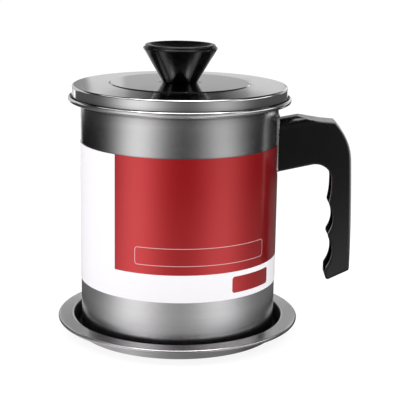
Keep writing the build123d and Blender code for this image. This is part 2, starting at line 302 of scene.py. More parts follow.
def sheet_outline(path, thickness, start_free=True):
    """Outline of a sheet to the left of a path (to its right if the thickness is negative): the path,
    a half circle round the sheet's free edge, and the path's copy one thickness away."""
    other = beside(path, thickness)
    rim = half_circle(path[-1], other[-1], path[-1] - path[-2])
    parts = [path, rim, other[::-1]]
    if start_free:
        parts.append(half_circle(other[0], path[0], path[0] - path[1]))
    return np.concatenate(parts)


def rolled_sheet(corners, fillets, curl, sheet, step=12.0, start_free=True):
    """Outline of a sheet that follows its rounded corners and ends in a curl, given by its radius and
    its turn in degrees."""
    path = rounded(corners, fillets)
    curl_path = arc(path[-1], path[-1] - path[-2], *curl, step)
    return sheet_outline(held(np.concatenate([path, curl_path[1:]])), sheet, start_free)


def held(path, margin=0.1):
    """The path with a point close to each end of every long run. The faces between those two points
    are then shaded flat, and the turn of the shading stays in the arcs."""
    runs = np.diff(path, axis=0)
    ahead = unit(runs) * margin
    stops = np.stack([path[:-1], path[:-1] + ahead, path[1:] - ahead], axis=1)
    long = np.linalg.norm(runs, axis=1) > 12 * margin
    kept = np.stack([np.ones_like(long), long, long], axis=1)
    return np.concatenate([stops[kept], path[-1:]])


def half_circle(start, end, outwards):
    """Four points between two ends, on the half circle that bulges outwards."""
    middle = (start + end) / 2
    across = start - middle
    ahead = unit(outwards) * np.linalg.norm(across)
    angles = np.linspace(0, math.pi, 6)[1:-1, None]
    return middle + across * np.cos(angles) + ahead * np.sin(angles)


def spaced(stretches, counts):
    """A curve's stretches, each divided into its own number of equal steps."""
    rows = []
    for path, count in zip(stretches, counts):
        lengths = np.concatenate([[0], np.cumsum(np.linalg.norm(np.diff(path, axis=0), axis=1))])
        places = np.linspace(0, lengths[-1], count, endpoint=False)
        rows.append(np.stack([np.interp(places, lengths, axis) for axis in path.T], axis=1))
    return np.concatenate([*rows, stretches[-1][-1:]])


# ---- Meshes ----


def added(name, points, faces, material):
    """A new mesh object with one material, in the scene."""
    mesh = bpy.data.meshes.new(name)
    mesh.from_pydata(np.asarray(points).tolist(), [], faces)
    mesh.materials.append(material)
    obj = bpy.data.objects.new(name, mesh)
    scene.collection.objects.link(obj)
    return obj


def piece(name, body, material, shape, nodes=(), smooth_angle=32.0):
    """Makes a piece of a shape, its points (millimetres) and faces, with closed seams and poles, its
    body and the nodes that it stands for. Faces that meet below the angle are shaded smooth."""
    points, faces = shape
    obj = added(name, points * MM, faces, material)
    close_seams(obj.data)
    obj.data.shade_smooth()
    obj.data.set_sharp_from_angle(angle=math.radians(smooth_angle))
    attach(obj, body)
    if nodes:
        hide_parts(*nodes)
    return obj


def close_seams(mesh, apart=1e-7):
    """Merges points that coincide and drops the faces that this leaves without area."""
    work = bmesh.new()
    work.from_mesh(mesh)
    bmesh.ops.remove_doubles(work, verts=work.verts, dist=apart)
    bmesh.ops.dissolve_degenerate(work, edges=work.edges, dist=apart)
    bmesh.ops.recalc_face_normals(work, faces=work.faces)
    work.to_mesh(mesh)
    work.free()


def grid_faces(rows, columns, wrap_rows=False, wrap_columns=False):
    """Corner numbers of the four-sided faces of a grid whose points are numbered row by row."""
    number = np.arange(rows * columns).reshape(rows, columns)
    number = np.pad(number, ((0, int(wrap_rows)), (0, int(wrap_columns))), mode="wrap")
    corners = [number[:-1, :-1], number[1:, :-1], number[1:, 1:], number[:-1, 1:]]
    return np.stack(corners, axis=2).reshape(-1, 4).tolist()


def capped_faces(stations, sides):
    """Faces of a closed section carried over its stations, with a face at either end."""
    ends = [list(range(sides))[::-1], list(range((stations - 1) * sides, stations * sides))]
    return grid_faces(stations, sides, wrap_columns=True) + ends


def points_from(x, y, z):
    """Points from three arrays of coordinates, each repeated to their common shape."""
    return np.stack(np.broadcast_arrays(x, y, z), axis=-1).reshape(-1, 3)


def turned(outline, around, closed=True):
    """An outline of (radius, height) turned about Z: a point is (radius * cos(angle),
    radius * sin(angle), height), on a grid of angle by place along the outline."""
    angles = np.linspace(0, 2 * math.pi, around, endpoint=False)[:, None]
    radius, height = outline.T
    points = points_from(radius * np.cos(angles), radius * np.sin(angles), height)
    return points, grid_faces(around, len(outline), wrap_rows=True, wrap_columns=closed)


def joined_shapes(*shapes):
    """Several (points, faces) as one."""
    faces, count = [], 0
    for points, own_faces in shapes:
        faces += [[corner + count for corner in face] for face in own_faces]
        count += len(points)
    return np.concatenate([points for points, _ in shapes]), faces


# ---- Finishes ----


class Signal:
    """A shader socket that sums work on: each operator adds its Math node."""

    def __init__(self, shading, socket):
        self.shading = shading
        self.socket = socket

    def math(self, operation, *others):
        return self.shading.node("Math", {"operation": operation}, [self, *others])

    def __add__(self, other):
        return self.math("ADD", other)

    __radd__ = __add__

    def __sub__(self, other):
        return self.math("SUBTRACT", other)

    def __rsub__(self, other):
        return self.shading.node("Math", {"operation": "SUBTRACT"}, [other, self])

    def __mul__(self, other):
        return self.math("MULTIPLY", other)

    __rmul__ = __mul__

    def __truediv__(self, other):
        return self.math("DIVIDE", other)

    def __abs__(self):
        return self.math("ABSOLUTE")

    def larger(self, other):
        return self.math("MAXIMUM", other)

    def smaller(self, other):
        return self.math("MINIMUM", other)

    def clamped(self):
        return self.larger(0).smaller(1)

    def above(self, edge, softness):
        """0 below the edge and 1 above it, over a band as wide as the softness."""
        return ((self - (edge - softness / 2)) / softness).clamped()


class Shading:
    """A node tree, built up by named steps."""

    def __init__(self, tree):
        self.tree = tree

    def node(self, kind, settings=None, inputs=(), output=0):
        """Adds a node: its settings first, then each input's value or link. Gives back an output."""
        made = self.tree.nodes.new("ShaderNode" + kind)
        for name, value in (settings or {}).items():
            setattr(made, name, value)
        pairs = inputs.items() if isinstance(inputs, dict) else enumerate(inputs)
        for key, value in pairs:
            self.feed(made.inputs[key], value)
        return Signal(self, made.outputs[output])

    def feed(self, socket, value):
        if isinstance(value, Signal):
            self.tree.links.new(value.socket, socket)
        else:
            socket.default_value = value

    def seen_directly(self):
        """1 for rays from the camera and for those that gloss sends on, 0 for soft light."""
        rays = self.node("LightPath").socket.node.outputs
        return Signal(self, rays["Is Camera Ray"]).larger(Signal(self, rays["Is Glossy Ray"]))


class Finish(Shading):
    """A material with one Principled shader."""

    def __init__(self, name):
        self.material = bpy.data.materials.new(name)
        self.material.use_nodes = True
        super().__init__(self.material.node_tree)
        self.surface = self.tree.nodes["Principled BSDF"]
        self.place = self.node("TexCoord", output="Object")
        split = self.node("SeparateXYZ", inputs=[self.place]).socket.node
        self.x, self.y, self.z = (Signal(self, socket) for socket in split.outputs)

    def set(self, **values):
        """Sets the shader's sockets; an underscore stands for a space in a socket's name."""
        for name, value in values.items():
            self.feed(self.surface.inputs[name.replace("_", " ")], value)
        return self

    def vector(self, x, y, z):
        return self.node("CombineXYZ", inputs=[x, y, z])

    def noise(self, scale, detail=2.0, roughness=0.5, place=None):
        """Noise from 0 to 1 about 0.5; the scale is in features per metre."""
        vector = place or self.place
        inputs = {"Vector": vector, "Scale": scale, "Detail": detail, "Roughness": roughness}
        return self.node("TexNoise", inputs=inputs, output="Fac")

    def cells(self, scale):
        """A random colour for each cell; the scale is in cells per metre."""
        inputs = {"Vector": self.place, "Scale": scale}
        return self.node("TexVoronoi", inputs=inputs, output="Color")

    def mix(self, factor, low, high):
        """A colour between two colours."""
        return self.node("Mix", {"data_type": "RGBA"}, {0: factor, 6: low, 7: high}, output=2)

    def tinted(self, colour, amount):
        """A colour made lighter or darker by a signal about 1."""
        inputs = {0: colour[:3], "Scale": amount}
        return self.node("VectorMath", {"operation": "SCALE"}, inputs)

    def paint(self, colour, amount):
        self.set(Base_Color=self.tinted(colour, amount))

    def painted_contact_shade(self, gap, darkest):
        """Painted contact shade: 1 in the open, down to the darkest where other faces close in within the
        gap.
        """
        free = self.node("AmbientOcclusion", {"samples": 8}, {"Distance": gap}, output="AO")
        return darkest + free.above(0.8, 0.3) * (1 - darkest)

    def bump(self, height, depth, strength):
        """Turns a height from 0 to 1 into relief that many metres deep."""
        inputs = {"Height": height, "Distance": depth, "Strength": strength}
        return self.set(Normal=self.node("Bump", inputs=inputs))

    def glow(self, strength):
        return self.node("Emission", inputs={"Color": (1, 1, 1, 1), "Strength": strength})

    def show(self, shader):
        """Puts a shader in the place of the surface's own."""
        self.feed(self.tree.nodes["Material Output"].inputs["Surface"], shader)


steel_tint = (1.0, 0.985, 1.0)


def grey(level, tint=(1.0, 1.0, 1.0)):
    return (*(level * share for share in tint), 1.0)


def spun_lines(finish):
    """Fine and broad lines round the axis, as a lathe leaves them. The height plus the radius changes
    across every wall and face of a turned piece, so noise that runs fast along that sum and slowly
    in X and Y goes round."""
    along = (finish.x * finish.x + finish.y * finish.y).math("SQRT") + finish.z

    def lines(across_rate, along_rate, detail, roughness):
        place = finish.vector(finish.x * across_rate, finish.y * across_rate, along * along_rate)
        return finish.noise(1.0, detail, roughness, place)

    return lines(14, 2600, 3.0, 0.6), lines(6, 420, 2.0, 0.5)


def coated_steel():
    """Satin grey coating over steel: lines that show through it, faint mottling, a soft gloss, and
    painted contact shade near the rim, under the lid's rolled edge."""
    finish = Finish("coated_steel")
    fine, broad = spun_lines(finish)
    mottle = finish.noise(240, detail=3.0)
    shade = 0.89 + fine * 0.08 + broad * 0.06 + mottle * 0.06
    # Painted shade: near the rim the colour darkens where the lid's rolled edge and other faces close in.
    below_rim = 1 - finish.z.above(120 * MM, 10 * MM)
    shade = shade * finish.painted_contact_shade(gap=6 * MM, darkest=0.28).larger(below_rim)
    finish.paint(grey(0.60, steel_tint), shade)
    finish.set(Metallic=1.0, Roughness=0.17 + fine * 0.07 + mottle * 0.05)
    return finish.bump(fine * 0.7 + broad * 0.3, depth=0.01 * MM, strength=0.22).material


def painted_well_shade():
    """Painted shade: a near-black colour inside the tray's well, where shade falls between the pot and
    the tray, dulled by fine scuffs.
    """
    finish = Finish("well_painted_shade")
    scuff = finish.noise(900, detail=4.0, roughness=0.65)
    finish.paint(grey(0.008), 0.8 + scuff * 0.5)
    finish.set(Roughness=0.5 + scuff * 0.2, Specular_IOR_Level=0.25)
    return finish.bump(scuff, depth=0.02 * MM, strength=0.2).material


def polished_lid():
    """The lid's brighter polish, with faint spun lines and smudges, and painted contact shade in its
    groove.
    """
    finish = Finish("polished_lid")
    fine, broad = spun_lines(finish)
    smudge = finish.noise(34, detail=3.0, roughness=0.6)
    shade = 0.9 + fine * 0.06 + broad * 0.06 + smudge * 0.03
    # Painted shade: the colour darkens in the groove and wherever other faces close in.
    shade = shade * finish.painted_contact_shade(gap=3 * MM, darkest=0.35)
    finish.paint(grey(0.66, steel_tint), shade)
    finish.set(Metallic=1.0, Roughness=0.07 + fine * 0.05 + smudge.above(0.62, 0.3) * 0.06)
    return finish.bump(fine * 0.7 + broad * 0.3, depth=0.01 * MM, strength=0.16).material


def drawn_steel():
    """Plain stainless pressings: the strainer, its ring and the handle's bracket."""
    finish = Finish("drawn_steel")
    fine, broad = spun_lines(finish)
    mottle = finish.noise(300, detail=3.0)
    shade = 0.88 + fine * 0.12 + mottle * 0.08
    finish.paint(grey(0.68), shade)
    finish.set(Metallic=1.0, Roughness=0.2 + fine * 0.1 + broad * 0.06)
    return finish.bump(fine, depth=0.01 * MM, strength=0.3).material


def net_wire():
    """The net's wire, with duller and brighter stretches."""
    finish = Finish("net_wire")
    dull = finish.noise(1500)
    finish.paint(grey(0.62), 0.8 + dull * 0.35)
    finish.set(Metallic=1.0, Roughness=0.26 + dull * 0.14)
    return finish.material


def zinc_plate():
    """Screws, washers and nut: bright plate with a faint crystalline mottle."""
    finish = Finish("zinc_plate")
    level = finish.node("SeparateColor", inputs=[finish.cells(scale=2600)])
    fine = finish.noise(5000)
    finish.paint(grey(0.6, (0.98, 1.0, 1.03)), 0.86 + level * 0.18)
    finish.set(Metallic=1.0, Roughness=0.2 + level * 0.12 + fine * 0.06)
    return finish.bump(fine, depth=0.01 * MM, strength=0.3).material


def satin_moulding():
    """Black moulding with a fine spark-eroded grain and soft flow marks."""
    finish = Finish("satin_moulding")
    grain = finish.noise(3600, roughness=0.55)
    flow = finish.noise(1.0, place=finish.vector(finish.x * 30, finish.y * 30, finish.z * 12))
    finish.paint(grey(0.0022, (1.0, 0.95, 1.06)), 0.85 + grain * 0.3)
    finish.set(Roughness=0.18 + grain * 0.09 + flow * 0.04, IOR=1.5, Specular_IOR_Level=0.4)
    return finish.bump(grain, depth=0.02 * MM, strength=0.22).material


def gloss_moulding():
    """Black moulding with a mirror gloss, faint orange peel and fine dust."""
    finish = Finish("gloss_moulding")
    peel = finish.noise(420, detail=1.0)
    dust = finish.noise(5200, roughness=0.7).above(0.7, 0.1)
    finish.paint(grey(0.001), 1 + dust * 1.5)
    finish.set(Roughness=0.13 + dust * 0.1 + peel * 0.03, IOR=1.5, Specular_IOR_Level=0.4)
    return finish.bump(peel, depth=0.04 * MM, strength=0.1).material


# Printed band. A place on it is (turn, height): turn in radians from the front, towards the handle.
# The panel's upper edge lies past the band's.
paper_white = (0.80, 0.787, 0.815)
foil_red = (0.55, 0.010, 0.014)
panel_turns = (math.radians(-36.9), math.radians(90.0))
panel_heights = (50.4 * MM, 1.0)
frame_turns = (math.radians(-23.6), math.radians(56.5))
frame_heights = (55.9 * MM, 66.2 * MM)
frame_line = 0.35 * MM
pill_turns = (math.radians(32.9), math.radians(63.3))
pill_heights = (37.4 * MM, 47.3 * MM)
corner_round = 1.7 * MM
print_softness = 0.18 * MM


def outside_range(signal, low, high):
    """How far a signal lies past the ends of a range, negative inside it."""
    return abs(signal - (low + high) / 2) - (high - low) / 2


def outside_block(finish, turn, turns, heights, corner):
    """How far a place lies outside a block with rounded corners, in metres: past the corner's centre
    it is the length of what is left in each direction, less the corner's radius."""
    across = outside_range(turn, *turns) * (band_radius * MM) + corner
    up = outside_range(finish.z, *heights) + corner
    past_across, past_up = across.larger(0), up.larger(0)
    length = (past_across * past_across + past_up * past_up).math("SQRT")
    return length + across.larger(up).smaller(0) - corner


def printed_paper():
    """Coated paper: white, with a red metallic ink panel, a thin frame on it and a small red block."""
    finish = Finish("printed_paper")
    turn = finish.x.math("ARCTAN2", 0 - finish.y)
    panel = outside_block(finish, turn, panel_turns, panel_heights, corner=0.0)
    outline = outside_block(finish, turn, frame_turns, frame_heights, corner_round)
    pill = outside_block(finish, turn, pill_turns, pill_heights, corner_round)
    soft = print_softness
    red = (1 - panel.above(0, soft)).larger(1 - pill.above(0, soft))
    line = 1 - (abs(outline) - frame_line / 2).above(0, soft)
    ink = red * (1 - line * 0.62)
    fibre = finish.noise(900, detail=4.0, roughness=0.65)
    cloud = finish.noise(60)
    bare = finish.tinted(paper_white, 0.975 + fibre * 0.05)
    foil = finish.tinted(foil_red, 0.92 + fibre * 0.1 + cloud * 0.06)
    finish.set(Base_Color=finish.mix(ink, bare, foil))
    finish.set(Metallic=ink * 0.75, Roughness=0.42 - ink * 0.08 + fibre * 0.05)
    finish.set(Coat_Weight=ink, Coat_Roughness=0.15)
    return finish.bump(fibre, depth=0.02 * MM, strength=0.12).material


coated = coated_steel()
well_painted_shade = painted_well_shade()
lid_polish = polished_lid()
drawn = drawn_steel()
wire = net_wire()
zinc = zinc_plate()
satin_black = satin_moulding()
gloss_black = gloss_moulding()
paper = printed_paper()


# ---- Drip tray ----


def drip_tray():
    """The saucer's sheet follows its underside: floor, leaning wall, flange, and an edge rolled under."""
    mouth = tray_radius - tray_flange
    under = tray_height - tray_sheet
    flange_end = (tray_radius - tray_hem_radius, under - tray_fall)
    corners = [(0, 0), (mouth - tray_lean, 0), (mouth, under), flange_end]
    fillets = [tray_foot_fillet, tray_mouth_fillet]
    hem = (tray_hem_radius - tray_sheet, -tray_hem_turn)
    outline = rolled_sheet(corners, fillets, hem, tray_sheet, step=15.0, start_free=False)
    shape = turned(outline, around=320, closed=False)
    tray = piece("tray_pressing", "tray", coated, shape, ["drip_tray"])
    # Painted shade: the faces inside the well get a near-black finish.
    paint_well_shade(tray.data, mouth * MM)


def paint_well_shade(mesh, mouth, up_share=0.2, least=0.15):
    """Gives the near-black painted shade to the faces inside the well: those nearer the axis than the
    mouth whose normals' share towards the axis, plus a little of their share upwards, is enough."""
    centres, normals = np.empty((2, 3 * len(mesh.polygons)))
    mesh.polygons.foreach_get("center", centres)
    mesh.polygons.foreach_get("normal", normals)
    x, y, _ = centres.reshape(-1, 3).T
    normal_x, normal_y, normal_up = normals.reshape(-1, 3).T
    radius = np.hypot(x, y)
    outward = (normal_x * x + normal_y * y) / np.maximum(radius, 1e-6)
    lined = (radius < mouth) & (normal_up * up_share - outward > least)
    mesh.materials.append(well_painted_shade)
    mesh.polygons.foreach_set("material_index", lined.astype(np.int32))


# ---- Pot ----


def pot():
    """The can's sheet follows its outside: base, foot, wall, and a rim rolled outwards."""
    corners = [(0, pot_base), (pot_radius, pot_base), (pot_radius, pot_rim - pot_bead)]
    bead = (pot_bead - pot_sheet, -pot_bead_turn)
    outline = rolled_sheet(corners, [pot_foot_fillet], bead, pot_sheet, start_free=False)
    shape = turned(outline, around=320, closed=False)
    piece("pot_shell", "pot", coated, shape, ["pot_body"])


def crisp_border(mesh):
    """Marks the edges that only one face has as sharp, so that thickness added later gets flat rims."""
    edge_of_corner = np.empty(len(mesh.loops), np.int32)
    mesh.loops.foreach_get("edge_index", edge_of_corner)
    lone = np.bincount(edge_of_corner, minlength=len(mesh.edges)) == 1
    mesh.edges.foreach_set("use_edge_sharp", lone)


def paper_band():
    """A sleeve cut from a flat strip: a grid of turn by height on the band's inner face, two cells
    high, less the upper cells in the handle's slot, given the paper's thickness."""
    slot_cells, wall_cells = 7, 299
    inner = band_radius - band_thickness
    seam = band_seam_half / inner
    slot = math.asin(band_slot_half / inner)
    marks = np.cumsum([0, slot_cells, wall_cells, slot_cells])
    ends = [seam, slot, 2 * math.pi - slot, 2 * math.pi - seam]
    turns = np.interp(np.arange(marks[-1] + 1), marks, ends)
    heights = [band_bottom, band_slot_bottom, band_top]
    points = points_from(inner * np.cos(turns)[:, None], inner * np.sin(turns)[:, None], heights)
    kept = [
        face for number, face in enumerate(grid_faces(len(turns), len(heights)))
        if number % 2 == 0 or marks[1] <= number // 2 < marks[2]
    ]
    band = piece("paper_band", "pot", paper, (points, kept), ["label_band"])
    crisp_border(band.data)
    thick = band.modifiers.new("thickness", "SOLIDIFY")
    thick.thickness = band_thickness * MM
    thick.offset = 1


# ---- Strainer ----


def strainer():
    """The cup's sheet follows its outside: ledge, wall, shoulder on the pot's rim, and collar."""
    corners = [
        (strainer_opening, ledge_z),
        (strainer_wall_radius, ledge_z),
        (strainer_wall_radius, strainer_shoulder),
        (collar_radius, strainer_shoulder),
        (collar_radius, collar_crest - collar_curl),
    ]
    curl = (collar_curl, collar_curl_turn)
    shape = turned(rolled_sheet(corners, strainer_fillets, curl, strainer_sheet), around=256)
    piece("strainer_cup_drawn", "strainer", drawn, shape, ["strainer_cup"])


def woven_net():
    """Crossing wires: a wire's height is a cosine of the way along it, and each next wire is half a
    wave on. Round the wire's centre line go four points; wires stop at the net's circle."""
    wire_sides = 4
    count = int(net_radius // wire_pitch)
    wires = np.arange(-count, count + 1)
    offsets = wires * wire_pitch
    ways = np.arange(-2 * count - 2, 2 * count + 3) * wire_pitch / 2
    half = np.sqrt(np.maximum(net_radius**2 - offsets**2, 0))[:, None]
    way = np.clip(ways[None, :], -half, half)
    wave = wire_radius * np.cos(math.pi * (way / wire_pitch + wires[:, None]))
    stations = len(ways)
    tube = np.array(grid_faces(stations, wire_sides, wrap_columns=True))
    faces = []
    for number, run in enumerate(way):
        moving = np.repeat(np.abs(np.diff(run)) > 1e-6, wire_sides)
        faces += (tube[moving] + number * stations * wire_sides).tolist()
    corner = np.arange(wire_sides) * 2 * math.pi / wire_sides
    along = way[:, :, None]
    across = offsets[:, None, None] + wire_radius * np.cos(corner)
    level = (net_low + net_high) / 2 + wire_radius * np.sin(corner)
    lift = wave[:, :, None]
    shape = joined_shapes(
        (points_from(along, across, level + lift), faces),
        (points_from(across, along, level - lift), faces),
    )
    piece("woven_net", "strainer", wire, shape, ["strainer_mesh"])


def net_ring():
    """A flat ring with rounded edges. Its outline starts and ends in the middle of its underside."""
    inner = ring_radius - ring_width
    start = (ring_radius - ring_width / 2, ring_low)
    edges = [(ring_radius, ring_low), (ring_radius, ring_high), (inner, ring_high), (inner, ring_low)]
    outline = rounded([start, *edges, start], ring_fillets, step=22.0)[:-1]
    piece("net_ring", "strainer", drawn, turned(outline, around=200), ["mesh_ring"])


# ---- Lid ----


def lid():
    """The lid's sheet lies under its top: disc, step, ring that falls to the corner, skirt, and an
    edge rolled outwards."""
    corners = [
        (lid_hole, lid_disc_z),
        (lid_disc_radius, lid_disc_z),
        (lid_disc_radius + lid_disc_shoulder, lid_disc_z - lid_disc_step),
        (lid_skirt_radius, lid_corner_z),
        (lid_skirt_radius, lid_curl_z),
    ]
    fillets = [lid_disc_shoulder, lid_disc_shoulder, lid_corner_fillet]
    curl = (lid_curl - lid_sheet, lid_curl_turn)
    shape = turned(rolled_sheet(corners, fillets, curl, -lid_sheet), around=320)
    piece("lid_pressing", "lid", lid_polish, shape, ["lid_shell"])


def knob():
    """The cone's outline: base, flank, rounded lip, socket for the insert, hollow, boss and bore."""
    flank = (knob_lip_corner - knob_base) / (knob_top - knob_low)
    hollow_z = knob_low + knob_floor
    boss_z = knob_low + knob_boss_height
    corners = [
        (knob_bore, knob_low),
        (knob_base, knob_low),
        (knob_lip_corner, knob_top),
        (insert_socket, knob_top),
        (insert_socket, insert_floor),
        (insert_socket - insert_ledge, insert_floor),
        (knob_base + flank * knob_floor - knob_wall, hollow_z),
        (knob_boss, hollow_z),
        (knob_boss, boss_z),
        (0, boss_z),
    ]
    bore = [(0, knob_low + knob_bore_depth), (knob_bore, knob_low + knob_bore_depth)]
    outline = np.concatenate([rounded(corners, knob_fillets, step=10.0), bore])
    shape = turned(outline, around=256)
    piece("knob_body", "lid", gloss_black, shape, ["knob_cone"])


def knob_cap():
    """The insert's outline: a dish that is an arc, level at its middle, a rounded rim, and a skirt."""
    dish_edge = (insert_radius - insert_rim, insert_top)
    dish = arc_to((0, insert_top - insert_dish), (1, 0), dish_edge, step=1.5)
    corners = [dish[-2], dish_edge, (insert_radius, insert_top), (insert_radius, insert_floor)]
    rim = rounded(corners, insert_fillets, step=12.0)
    under = [(insert_radius - insert_ledge, insert_floor), (0, insert_top - insert_dish - insert_wall)]
    outline = np.concatenate([dish[:-2], rim, under])
    shape = turned(outline[::-1], around=256, closed=False)
    piece("knob_cap", "lid", gloss_black, shape, ["knob_insert"])


# ---- Handle ----


def saddle_bracket():
    """The plate is rings of a rounded rectangle, drawn in to its middle on both faces, with x from the
    wall's circle; its outer face falls a little at the edge. The tongue is a channel along X."""
    width, height = 2 * grip_half, plate_high - plate_low
    corners = [(0, 0), (width, 0), (width, height), (0, height), (0, 0), (width, 0)]
    loop = rounded(corners, [plate_corner] * 4, step=15.0)[1:-1] - (width / 2, height / 2)
    shares = np.array([0.0, 0.25, 0.5, 0.75, 0.985, 1.0])
    middle_z = (plate_low + plate_high) / 2
    outer_radius = pot_radius + plate_thickness
    rings = []
    for radius, order, fall in ((pot_radius, shares, 0.0), (outer_radius, shares[::-1], plate_fall)):
        y = order[:, None] * loop[:, 0]
        z = middle_z + order[:, None] * loop[:, 1]
        set_in = np.where(order == 1.0, fall, 0.0)[:, None]
        rings.append(points_from(np.sqrt((radius - set_in) ** 2 - y**2), y, z))

    half, up = tongue_half, tongue_flange
    channel = rounded([(-half, up), (-half, 0), (half, 0), (half, up)], [tongue_fillet] * 2, step=15.0)
    section = sheet_outline(channel, plate_thickness) + (0, tongue_z)
    ends = (outer_radius - plate_thickness / 2, tongue_end)
    tongue = np.concatenate([np.insert(section, 0, end, axis=1) for end in ends])
    plate = (np.concatenate(rings), grid_faces(2 * len(shares), len(loop), wrap_columns=True))
    shape = joined_shapes(plate, (tongue, capped_faces(2, len(section))))
    piece("saddle_bracket", "pot", drawn, shape, ["handle_bracket"])


# Stations along each stretch of the handle's outer and inner side view, points across its crown and
# its rims' roundings, and how far in from its edges the flat of its sides begins
outer_counts = (10, 20, 26, 66, 60)
inner_counts = (48, 118, 16)
crown_points = 17
rim_points = 8
side_margin = 0.15


def back_curve(fillets=(0, 0)):
    """Outer side view of the handle, in stretches: arm, hollow thumb rest, elbow, long bowed back, and
    the foot: round the heel and the tip and up the closed end to its lip."""
    rest_middle = np.add(arm_peak, shoulder) / 2 - (0, thumb_rest_dip)
    back_middle = np.add(back_top, heel) / 2 + (back_bow, 0)
    rest = arc_through(arm_peak, rest_middle, shoulder)
    back = arc_through(back_top, back_middle, heel, step=0.1)
    elbow = arc_to(back_top, back[0] - back[1], shoulder, step=2.0)[::-1]
    back = back[back[:, 1] > heel[1] + 2 * heel_fillet]
    tip = (crests[-1][0], tip_up)
    foot = rounded([back[-1], heel, tip, (tip[0], tip_up + tip_lip)], fillets, step=8.0)
    return [np.array([root_top, arm_peak]), rest, elbow, back, foot]


def meeting_point(hollow, crest):
    """Where the arcs of a hollow and a crest meet. Both stand upright at their middles, so they lean
    there by twice the angle of the line between the middles."""
    drop = hollow[1] - crest[1]
    lean = 2 * math.atan((hollow[0] - crest[0]) / drop)
    radius = drop / math.sin(lean) - crest_radius
    return (hollow[0] - radius * (1 - math.cos(lean)), hollow[1] - radius * math.sin(lean))


def finger_curve():
    """Inner side view, in stretches: the arm's underside and the knuckle, the finger hollows with a
    crest below each, and the straight closed end. Each arc's last heading is its first one mirrored
    in its chord."""
    top = hollows[0]
    knuckle = (top[0], root_bottom[1] + underside_slope * (top[0] - root_bottom[0]))
    under = rounded([root_bottom, knuckle, top], [knuckle_fillet], step=6.0)
    stops = []
    for hollow, crest, next_hollow in zip(hollows, crests, hollows[1:]):
        stops += [meeting_point(hollow, crest), crest, meeting_point(next_hollow, crest), next_hollow]
    stops += [meeting_point(hollows[-1], crests[-1]), crests[-1]]
    waves = [np.array([top])]
    heading = np.array([0.0, -1.0])
    for stop in stops:
        start = waves[-1][-1]
        chord = unit(stop - start)
        waves.append(arc_to(start, heading, stop)[1:])
        heading = 2 * (heading @ chord) * chord - heading
    end = np.array([crests[-1], (crests[-1][0], tip_up + tip_lip)])
    return under, np.concatenate(waves), end


def handle_sections():
    """Three curves of the handle's side view with as many points each: outer, ceiling of the channel,
    and inner edge."""
    sharp = back_curve()
    ceiling = beside(np.concatenate([sharp[0][:1]] + [part[1:] for part in sharp]), -grip_wall)
    marks = np.cumsum([0] + [len(part) - 1 for part in sharp])
    ceiling_parts = [ceiling[start:end + 1] for start, end in zip(marks, marks[1:])]
    outer = spaced(back_curve((heel_fillet, tip_fillet)), outer_counts)
    return outer, spaced(ceiling_parts, outer_counts), spaced(finger_curve(), inner_counts)


def circle_fall(radius, widths):
    """How far a rounded edge lies below its top at each width: the radius less the upright side of the
    triangle whose flat side is the way past the rounding's start."""
    past = np.maximum(widths - (grip_half - radius), 0)
    return radius - np.sqrt(np.maximum(radius**2 - past**2, 0))


def handle():
    """A channel carried along the handle. At each station its section goes over the outside from rim
    to rim, and back along the ceiling. Across the width the outside drops by the larger of two falls:
    the quarter circle of its rounded edge, and on the arm the crown's circle, less how far the station
    lies below the crown's straight top line."""
    outer, ceiling, inner = handle_sections()
    into_outer = -normals_left(outer)[0]
    into_inner = normals_left(inner)[0]

    rise = np.subtract(arm_peak, root_top)
    below_top = (outer - root_top) @ unit(np.array([rise[1], -rise[0]]))
    on_arm = outer[:, 1] > back_top[1]
    marks = np.cumsum((0,) + outer_counts)[[0, 2, 3, 4, 5]]
    roundings = (rim_rounding, rim_rounding, back_rounding, back_rounding, rim_rounding)
    rounding = np.interp(np.arange(len(outer)), marks, roundings)[:, None]

    quarter = np.radians(np.linspace(0, 90, crown_points))
    flat = grip_half - crown_radius
    widths = np.concatenate([[0.0], flat + crown_radius * np.sin(quarter)])
    crown_fall = circle_fall(crown_radius, widths)
    edge_fall = circle_fall(rounding, widths)
    crown = np.where(on_arm[:, None], crown_fall - np.maximum(below_top, 0)[:, None], 0)
    fall = np.maximum(np.maximum(edge_fall, crown), 0)

    outside = outer[:, None] + into_outer[:, None] * fall[:, :, None]
    round_angle = np.radians(np.linspace(0, 90, rim_points))
    rim_in = rim_rounding * (1 - np.cos(round_angle))
    rim_y = grip_half - rim_rounding + rim_rounding * np.sin(round_angle)
    rim = inner[:, None] + into_inner[:, None] * rim_in[None, :, None]
    across_side = outside[:, -1:] - rim[:, -1:]
    hold = side_margin / np.linalg.norm(across_side, axis=2, keepdims=True)
    third = np.full_like(hold, 1 / 3)
    side = rim[:, -1:] + across_side * np.concatenate([hold, third, 2 * third, 1 - hold], axis=1)

    half_view = np.concatenate([inner[:, None], rim, side, outside[:, ::-1]], axis=1)
    half_y = np.concatenate([[grip_inner_half], rim_y, [grip_half] * 4, widths[::-1]])
    inside = np.stack([ceiling, ceiling], axis=1)
    view = np.concatenate([half_view, half_view[:, -2::-1], inside], axis=1)
    across = np.concatenate([-half_y, half_y[-2::-1], [grip_inner_half, -grip_inner_half]])
    x = np.maximum(grip_x + view[:, :, 0], np.sqrt(grip_x**2 - across**2))
    shape = (points_from(x, across, tongue_z + view[:, :, 1]), capped_faces(*view.shape[:2]))
    return piece("grip_moulding", "pot", satin_black, shape, ["handle_grip"], 20.0)


def handle_ribs():
    """Ribs across the channel, and the rib and boss in the arm."""
    half = grip_inner_half + rib_overlap
    outs = (rib_out, heel[0] - grip_wall / 2)
    shapes = [block(outs, (-half, half), (up, up + rib_thickness)) for up in rib_ups]
    rest_outs = (screw_out - rib_thickness / 2, screw_out + rib_thickness / 2)
    shapes.append(block(rest_outs, (-half, half), (rest_rib_low, rest_rib_high)))
    shapes.append(boss_shape(half))
    piece("grip_ribs", "pot", satin_black, joined_shapes(*shapes))


